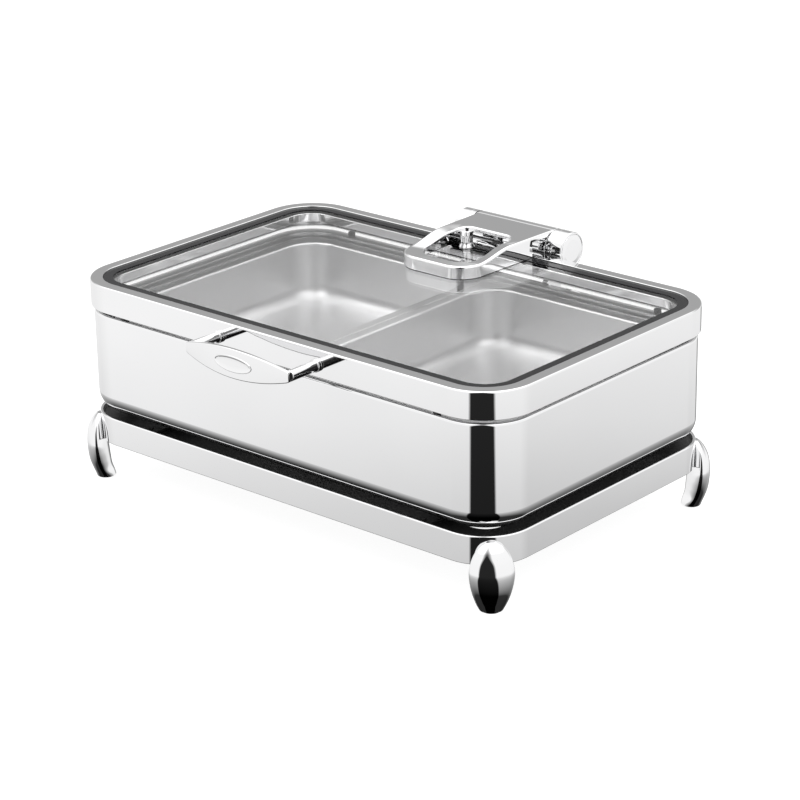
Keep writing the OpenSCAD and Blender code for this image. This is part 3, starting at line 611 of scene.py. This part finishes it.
def food_pan(side):
    """Half-size pan: flat flange with a turned edge, drafted walls and a wide radius into the floor."""
    name = "right" if side > 0 else "left"
    low, high = cad_size("food_pan_" + name)
    centre = ((low.x + high.x) / 2, (low.y + high.y) / 2)
    width, depth, top, bottom = high.x - low.x, high.y - low.y, high.z, low.z
    bowl_w, bowl_d = width - 2 * FOOD_FLANGE[0], depth - 2 * FOOD_FLANGE[1]

    def flange_loop(inset, z):
        return rounded_loop(width - 2 * inset, depth - 2 * inset, FOOD_RIM_R - inset, z, centre)

    def bowl_loop(inset, z):
        return rounded_loop(bowl_w - 2 * inset, bowl_d - 2 * inset, FOOD_R - inset, z, centre)

    def bowl_section(t):
        """Insets and heights of one face of the bowl, t in from its outer face."""
        lean = (top - bottom) * math.tan(FOOD_DRAFT)
        lip_z = top - FOOD_T + t
        return fillet([(-FOOD_FLANGE[0] / 2, lip_z), (t, lip_z, FOOD_LIP_R + FOOD_T - t),
                       (t + lean, bottom + t, FOOD_FLOOR_R - t), (FOOD_R + 6, bottom + t)],
                      steps=10, closed=False)[1:]
    inner = [bowl_loop(i, z) for i, z in bowl_section(FOOD_T)]
    outer = [bowl_loop(i, z) for i, z in bowl_section(0)]
    edge = [flange_loop(i, z) for i, z in fillet(
        [(2, top), (0, top, 0.45), (0, top - FOOD_T, 0.45), (2, top - FOOD_T)], steps=3, closed=False)]
    points, faces = skin(inner[::-1] + edge + outer, caps=True)
    make_piece("food_pan_" + name + "_shell", points, faces, "pan_" + name, "satin_steel",
               ["food_pan_" + name])


# ---------- stand ----------

RING_T = 3
RING_FLANGE_T = 2
RING_FLANGE_IN = 9


def stand_ring():
    """Band with a rounded top edge and a flange turned in along its lower edge."""
    profile = fillet([
        (0, RING_Z, 0.8), (0, RING_TOP, 1.3), (RING_T, RING_TOP, 1.3), (RING_T, RING_Z + RING_FLANGE_T, 0.6),
        (RING_FLANGE_IN, RING_Z + RING_FLANGE_T, 0.8), (RING_FLANGE_IN, RING_Z, 0.8)])
    swept("stand_ring_band", profile, PAN_W, PAN_D, PAN_R, "stand", "polished_steel", ["stand_ring"])


# Leg rows from the foot up: height, inner face, outer face and half width, out from the ring's face
LEG_ROWS = [(1, -12.8, 7.8, 11.8), (6, -11.6, 9.4, 14.2), (13, -9.3, 12, 16.8), (22, -8.2, 14.6, 19.5),
            (33, -7.2, 15.9, 21.6), (44, -6.2, 16, 22.2), (55, -4.8, 14.6, 20), (63, -3.6, 11.4, 16.4),
            (69, -2.4, 7.4, 11.4), (73, -1, 3.2, 4.5)]
LEG_SIDES = 72
LEG_STEPS = 7


def between(rows, k, steps):
    """Catmull-Rom value at step k of a table of rows."""
    i, t = divmod(k, steps)
    t /= steps
    pick = [rows[max(0, min(len(rows) - 1, i + d))] for d in (-1, 0, 1, 2)]
    return [0.5 * (2 * b + (c - a) * t + (2 * a - 5 * b + 4 * c - d) * t * t
                   + (3 * b - a - 3 * c + d) * t ** 3) for a, b, c, d in zip(*pick)]


def leg(sx, sy, name):
    """Almond-shaped cast leg, cut back to sit outside the ring's corner above its lower edge."""
    seat = PAN_R + 0.2
    corner = Vector((sx * (PAN_W / 2 - PAN_R), sy * (PAN_D / 2 - PAN_R), 0))
    turn = Matrix.Rotation(math.atan2(sy, sx), 3, "Z")
    sections = [between(LEG_ROWS, k, LEG_STEPS) for k in range((len(LEG_ROWS) - 1) * LEG_STEPS + 1)]
    cut = RING_Z - 0.3
    for i, row in enumerate(sections):
        if row[0] > cut:
            share = (cut - sections[i - 1][0]) / (row[0] - sections[i - 1][0])
            step = [a + (b - a) * share for a, b in zip(sections[i - 1], row)]
            sections[i:i] = [step, [cut + 0.02] + step[1:]]
            break
    loops = []
    for z, inner, outer, half in sections:
        loop = []
        for j in range(LEG_SIDES):
            a = 2 * math.pi * j / LEG_SIDES
            u = seat + (inner + outer) / 2 + (outer - inner) / 2 * math.cos(a)
            v = half * math.sin(a)
            reach = math.hypot(u, v)
            if z > cut + 0.01 and reach < seat:
                u = math.sqrt(max(seat * seat - v * v, 0))
            loop.append(tuple(corner + turn @ Vector((u, v, z))))
        loops.append(loop)
    points, faces = skin(loops, caps=True)
    make_piece(name + "_cast", points, faces, "stand", "chrome_parts", [name], sharp=50)


# ---------- hinge ----------

LOOP_TOP = GLASS_TOP + 15
LOOP_Y0 = arm_low.y
LOOP_HALF, LOOP_R = 50, 29
RISE_Y0, RISE_Y1 = 88, 140
ARM_T = 4.5
ARM_TOP = AXIS_Z + BARREL_R - 0.3
FLANK_Y1 = LID_D / 2 - GLASS_IN
WINDOW_Y0, WINDOW_Y1 = 82.5, 164
WINDOW_FRONT, WINDOW_BACK = 36, 35
WINDOW_R_FRONT, WINDOW_R_BACK = 23, 13
LOOP_DROP, LOOP_DROP_END, LOOP_DROP_FADE = 1.9, 175, 25
ARM_END = AXIS_Y - 3
SEAL_T = 0.75


def arm_height(y):
    """Height of the arm's top: low over the glass, then an S-curve up to the barrel."""
    t = max(0, min(1, (y - RISE_Y0) / (RISE_Y1 - RISE_Y0)))
    return LOOP_TOP + (ARM_TOP - LOOP_TOP) * t * t * (3 - 2 * t)


def quad_loop(front, back, y0, y1, r_front, r_back, side_stops):
    """A rounded four-sided outline, wider or narrower at the back, with its sides split at given shares."""
    corners = [(-front, y0, r_front, 225), (front, y0, r_front, -45), (back, y1, r_back, 45),
               (-back, y1, r_back, 135)]
    points = []
    arcs = []
    for x, y, r, middle in corners:
        cx, cy = x - math.copysign(r, x), y + (r if y == y0 else -r)
        arcs.append([(cx + r * math.cos(math.radians(middle - 45 + 90 * k / 12)),
                      cy + r * math.sin(math.radians(middle - 45 + 90 * k / 12))) for k in range(13)])
    for i, arc in enumerate(arcs):
        points += arc
        start, end = arc[-1], arcs[(i + 1) % 4][0]
        stops = side_stops if i == 1 else ([1 - s for s in side_stops[::-1]] if i == 3 else
                                           [k / 9 for k in range(1, 9)])
        points += [(start[0] + (end[0] - start[0]) * s, start[1] + (end[1] - start[1]) * s) for s in stops]
    return [Vector(p) for p in points]


def offset_loop(loop, distance):
    """The loop moved inwards by a distance along its own normals."""
    moved = []
    for i, p in enumerate(loop):
        tangent = (loop[(i + 1) % len(loop)] - loop[i - 1]).normalized()
        moved.append(p + Vector((-tangent.y, tangent.x)) * distance)
    return moved


def hinge_arm():
    """Cast arm: a loop on the glass with flanks down to it, rising to a plate that meets the barrel."""
    flank = (FLANK_Y1 - LOOP_Y0 - LOOP_R) / (ARM_END - 2 - LOOP_Y0 - LOOP_R)
    stops = sorted([k / 26 for k in range(1, 26)] + [flank - 0.0008, flank + 0.0008])
    outline = quad_loop(LOOP_HALF, ARM_HALF, LOOP_Y0, ARM_END, LOOP_R, 2, stops)
    window = quad_loop(WINDOW_FRONT, WINDOW_BACK, WINDOW_Y0, WINDOW_Y1, WINDOW_R_FRONT, WINDOW_R_BACK, stops)
    base = [GLASS_TOP + SEAL_T if p.y < FLANK_Y1 else arm_height(p.y) - ARM_T - 0.8 for p in outline]
    edge_r, lip_r = 2.6, 2.2

    def at(loop, lower, share=0.0):
        """The loop under the arm's top, with a share of the ring's fall towards the window."""
        falls = [LOOP_DROP * share * max(0, min(1, (LOOP_DROP_END - p.y) / LOOP_DROP_FADE)) for p in loop]
        return [(p.x, p.y, arm_height(p.y) - lower - fall) for p, fall in zip(loop, falls)]

    def blend(loop_a, loop_b, t):
        return [a.lerp(b, t) for a, b in zip(loop_a, loop_b)]
    rings = [[(p.x, p.y, b) for p, b in zip(offset_loop(outline, 0.4), base)],
             [(p.x, p.y, b + 0.4) for p, b in zip(outline, base)],
             [(p.x, p.y, max(b + 0.5, (b + arm_height(p.y)) / 2)) for p, b in zip(outline, base)]]
    arc = [math.radians(90 * k / 6) for k in range(7)]
    for a in arc:
        rings.append(at(offset_loop(outline, edge_r * (1 - math.cos(a))), edge_r * (1 - math.sin(a))))
    shoulder = offset_loop(outline, edge_r)
    brow = offset_loop(window, -lip_r)
    for k in range(1, 9):
        rings.append(at(blend(shoulder, brow, k / 9), 0, k / 9))
    for a in arc[::-1]:
        rings.append(at(offset_loop(window, -lip_r * (1 - math.cos(a))), lip_r * (1 - math.sin(a)), 1))
    rings.append(at(window, ARM_T - 0.3, 1))
    rings.append(at(offset_loop(window, -0.3), ARM_T, 1))
    inner = offset_loop(outline, ARM_T)
    for k in range(1, 9):
        rings.append(at(blend(brow, inner, k / 9), ARM_T, 1 - k / 9))
    rings.append(at(inner, ARM_T + 0.4))
    rings.append([(p.x, p.y, b) for p, b in zip(inner, base)])
    points, faces = skin(rings, closed=True)
    make_piece("lid_arm_casting", points, faces, "lid", "chrome_parts", ["hinge_arm"], sharp=38)
    seal_low, seal_high = GLASS_TOP + 0.03, GLASS_TOP + SEAL_T
    seal_section = ((0.5, seal_low), (0.5, seal_high), (ARM_T - 0.4, seal_high), (ARM_T - 0.4, seal_low))
    seal = [[(p.x, p.y, z) for p in offset_loop(outline, inset)] for inset, z in seal_section]
    keep_y = LID_D / 2 - BORDER_IN - 0.5
    seal = [[(x, min(y, keep_y), z) for x, y, z in ring] for ring in seal]
    points, faces = skin(seal, closed=True)
    make_piece("lid_arm_seal", points, faces, "lid", "black_gasket", sharp=30)


def barrel_profile(length, edge):
    """Outline of a drum from end to end along its axis."""
    r = BARREL_R
    return fillet([(0.01, 0), (r, 0, edge), (r, length, edge), (0.01, length)], steps=4, closed=False)


def cap_profile(length):
    """Outline of an end cap, with a fine groove round its end face and a slight crown inside it."""
    r = BARREL_R
    return fillet([(0.01, 0), (r, 0, 0.4), (r, length - 0.5, 1.6), (r - 2.2, length - 0.5, 0.3),
                   (r - 2.4, length - 1.2), (r - 3.0, length - 1.2), (r - 3.1, length - 0.6, 0.5),
                   (r * 0.6, length - 0.15, 4), (0.01, length)], steps=4, closed=False)


def hinge_barrel():
    half = ARM_HALF - 0.05
    lathed("hinge_barrel_drum", barrel_profile(2 * half, 0.5), (-half, AXIS_Y, AXIS_Z), (1, 0, 0), "lid",
           "chrome_parts")
    for side, name in ((-1, "left"), (1, "right")):
        low, high = cad_size("hinge_cap_" + name)
        inner_x = low.x if side > 0 else high.x
        lathed("hinge_cap_" + name + "_disc", cap_profile(high.x - low.x), (inner_x, AXIS_Y, AXIS_Z),
               (side, 0, 0), "vessel", "chrome_parts", ["hinge_cap_" + name])


def clamp_posts():
    """Waisted posts that clamp the loop to the glass."""
    low, high = cad_size("clamp_posts")
    height = high.z - low.z
    post_y = (low.y + high.y) / 2
    foot_r = (high.y - low.y) / 2
    post_x = high.x - foot_r
    waist = foot_r - 2.2
    profile = fillet([
        (0.01, 0), (foot_r, 0, 0.4), (foot_r, 1.2, 0.5), (waist, 5, 5), (waist, height * 0.72, 4),
        (foot_r - 1, height, 0.2), (0.01, height)], steps=6, closed=False)
    posts = [lathed("clamp_post", profile, (side * post_x, post_y, low.z), (0, 0, 1), "lid", "chrome_parts",
                    steps=48) for side in (-1, 1)]
    together("clamp_post_pair", posts, ["clamp_posts"])


# ---------- handle ----------

GRIP_TIP_H = 11
GRIP_BOW = 6
GRIP_T = 4.5
GRIP_EDGE_R = 1.1


def handle_grip():
    """Bowed plate with a lens-shaped face, its edges eased all round."""
    half = grip_high.x
    rise = (grip_high.z - grip_low.z - GRIP_TIP_H) / 2
    middle_z = (grip_high.z + grip_low.z) / 2
    back = grip_high.y
    steps = 60
    loops = []
    for k in range(steps + 1):
        u = 2 * k / steps - 1
        height = GRIP_TIP_H / 2 + rise * (1 - u * u)
        back_y = back - GRIP_BOW * (1 - u * u)
        section = fillet([(-GRIP_T, -height, GRIP_EDGE_R), (-GRIP_T, height, GRIP_EDGE_R),
                          (0, height, GRIP_EDGE_R), (0, -height, GRIP_EDGE_R)], steps=4)
        slope = math.atan2(2 * GRIP_BOW * u, half)
        ease = 0.5 if k in (0, steps) else 0
        shrink = 1 - ease / height
        loops.append([(half * u - dy * math.sin(slope) * 0.5, back_y + dy, middle_z + dz * shrink)
                      for dy, dz in section])
    points, faces = skin(loops, caps=True)
    make_piece("handle_grip_plate", points, faces, "lid", "chrome_parts", ["handle_grip"], sharp=45)


# Badge from its edge inwards: distance in, and how far it stands out from the grip
BADGE_SECTION = [(0.0, -0.3), (0.0, 0.3), (0.25, 0.55), (0.6, 0.6), (1.6, 0.6), (1.9, 0.45), (2.2, 0.25),
                 (3.2, 0.2), (7, 0.2)]


def handle_badge():
    """Blank raised oval on the grip, following its bow."""
    low, high = cad_size("handle_badge")
    half_w, half_h = (high.x - low.x) / 2 + 1.5, (high.z - low.z) / 2
    middle_z = (high.z + low.z) / 2
    front = grip_low.y
    loops = []
    for inset, out in BADGE_SECTION:
        loop = []
        for j in range(96):
            a = 2 * math.pi * j / 96
            x, z = (half_w - inset) * math.cos(a), (half_h - inset) * math.sin(a)
            bow = GRIP_BOW * (x / grip_high.x) ** 2
            loop.append((x, front + bow - out, middle_z + z))
        loops.append(loop)
    points, faces = skin(loops, caps=True)
    make_piece("handle_badge_oval", points, faces, "lid", "chrome_parts", ["handle_badge"], sharp=35)


def handle_posts():
    low, high = cad_size("handle_posts")
    collar_r = (high.z - low.z) / 2
    post_r = collar_r - 1
    post_x, post_z = high.x - collar_r, (high.z + low.z) / 2
    length = high.y - low.y
    collar_at = length - 3.2
    profile = fillet([(0.01, 0), (post_r, 0, 0.8), (post_r, collar_at, 0.3), (collar_r, collar_at, 0.6),
                      (collar_r, length, 0.3), (0.01, length)], steps=4, closed=False)
    posts = [lathed("handle_post", profile, (side * post_x, low.y, post_z), (0, 1, 0), "lid", "chrome_parts",
                    steps=64) for side in (-1, 1)]
    together("handle_post_pair", posts, ["handle_posts"])


# ---------- controls ----------

def thermostat_knob():
    """Fluted knob with a skirt."""
    low, high = cad_size("thermostat_knob")
    x, z = (low.x + high.x) / 2, (low.z + high.z) / 2
    skirt_r = (high.x - low.x) / 2
    length = high.y - low.y
    sides = 144
    loops = []
    for r, h, flute in ((0.5, 0, 0), (skirt_r, 0, 0), (skirt_r, 1.4, 0), (skirt_r - 1.2, 2.2, 0),
                        (skirt_r - 1.6, 3, 0.7), (skirt_r - 2, length - 1.6, 0.7),
                        (skirt_r - 2.8, length - 0.4, 0.3), (skirt_r - 4, length, 0), (0.5, length, 0)):
        loop = []
        for j in range(sides):
            a = 2 * math.pi * j / sides
            reach = r - flute * (0.5 + 0.5 * math.cos(18 * a))
            loop.append((x + reach * math.cos(a), low.y + h, z + reach * math.sin(a)))
        loops.append(loop)
    points, faces = skin(loops, caps=True)
    make_piece("thermostat_knob_fluted", points, faces, "thermostat_dial", "black_plastic",
               ["thermostat_knob"], sharp=35)


# Bevel widths in millimetres, for CAD nodes that keep their own shape
EASED_WIDTHS = {
    "control_box": 1.0, "control_panel": 0.4, "power_inlet": 0.5, "switch_body": 0.4, "switch_rocker": 0.4,
    "heater_tray": 0.4, "hinge_base": 0.6, "rail_left": 0.4, "rail_right": 0.4, "rail_pads": 0.8,
    "pan_support_bar": 0.4, "heater_plate": 0.8, "foot_glides": 0.4, "stand_shelf": 0.5,
    "control_screws": 0.3, "rail_screws": 0.3, "hinge_base_screws": 0.4, "leg_screws": 0.4,
    "indicator_lamp": 0.5, "terminal_block": 0.5, "clamp_bolts": 0.3, "lid_bumpers": 0.4}


def eased_edges():
    """Small bevels on the CAD nodes that stay, so that their edges catch the light."""
    for name, width in EASED_WIDTHS.items():
        modifier = frame["nodes"][name].modifiers.new("eased", "BEVEL")
        modifier.width = width * MM
        modifier.segments = 2
        modifier.limit_method = "ANGLE"
        modifier.angle_limit = math.radians(50)
        modifier.use_clamp_overlap = True


lid_frame()
lid_border()
lid_glass()
water_pan()
pan_rim()
for side in (-1, 1):
    food_pan(side)
stand_ring()
for sx, sy, name in ((-1, -1, "leg_front_left"), (1, -1, "leg_front_right"), (-1, 1, "leg_rear_left"),
                     (1, 1, "leg_rear_right")):
    leg(sx, sy, name)
hinge_arm()
hinge_barrel()
clamp_posts()
handle_grip()
handle_badge()
handle_posts()
thermostat_knob()
eased_edges()
